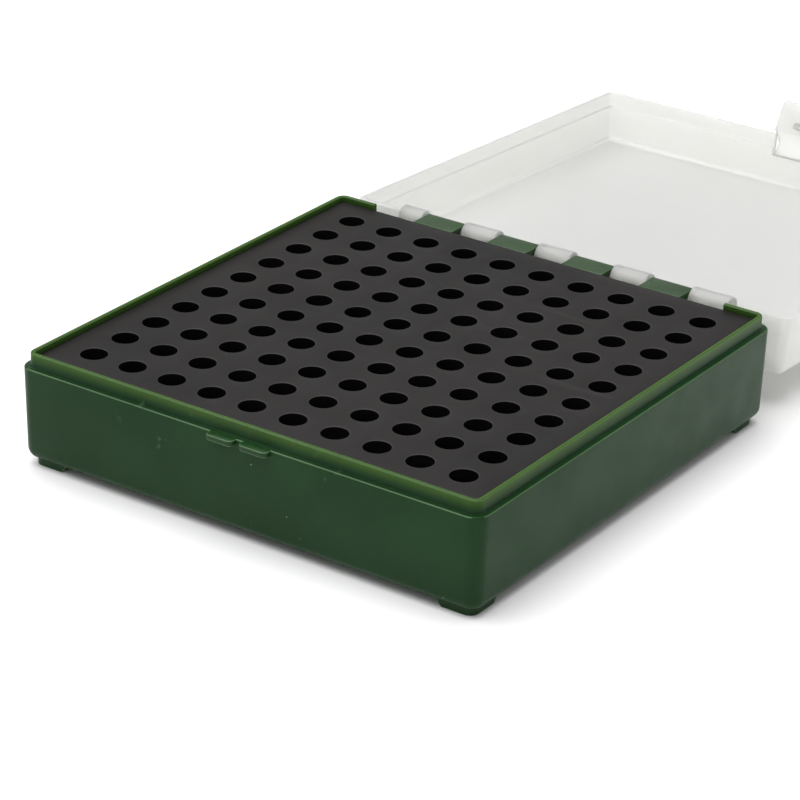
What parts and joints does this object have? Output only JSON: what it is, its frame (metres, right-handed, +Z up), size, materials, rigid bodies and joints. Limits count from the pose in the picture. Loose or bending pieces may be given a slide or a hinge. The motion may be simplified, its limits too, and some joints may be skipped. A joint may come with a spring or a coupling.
{
  "type": "cryogenic storage box",
  "caption": "Square storage box with a rack of small round wells, a frosted lid on a snap hinge and a latch tongue, shown open.",
  "frame": {"origin": "on the table, at the middle of the footprint of the box with its lid laid open, just behind the tray's back wall", "axes": "+Z up, +Y from the tray towards the open lid, +X to the right seen from the latch side; the hinge line runs along X"},
  "size_m": [0.133, 0.2804, 0.0297],
  "materials": {
    "tray_green": "satin, moulded",
    "rack_black": "matte, moulded",
    "frosted_lid": "frosted, translucent"
  },
  "bodies": {
    "base": {"base_tray": "tray_green", "corner_feet": "tray_green", "keeper_tabs": "tray_green", "hinge_hooks": "tray_green", "rack_deck": "rack_black", "rack_cross_ribs": "rack_black", "rack_long_ribs": "rack_black"},
    "lid": {"lid_shell": "frosted_lid", "lid_knuckles": "frosted_lid", "hinge_rod": "frosted_lid"},
    "latch": {"latch_tongue": "frosted_lid"}
  },
  "joints": [
    {"name": "lid_hinge", "type": "hinge", "parent": "base", "child": "lid", "pos_m": [0, -0.0013, 0.0259], "axis": [-1, 0, 0], "range_deg": [-183.1, 0]},
    {"name": "latch_flex", "type": "hinge", "parent": "lid", "child": "latch", "pos_m": [0, 0.13392, 0.01242], "axis": [-1, 0, 0], "range_deg": [0, 12], "stiffness_Nm_per_rad": 0.15}
  ]
}
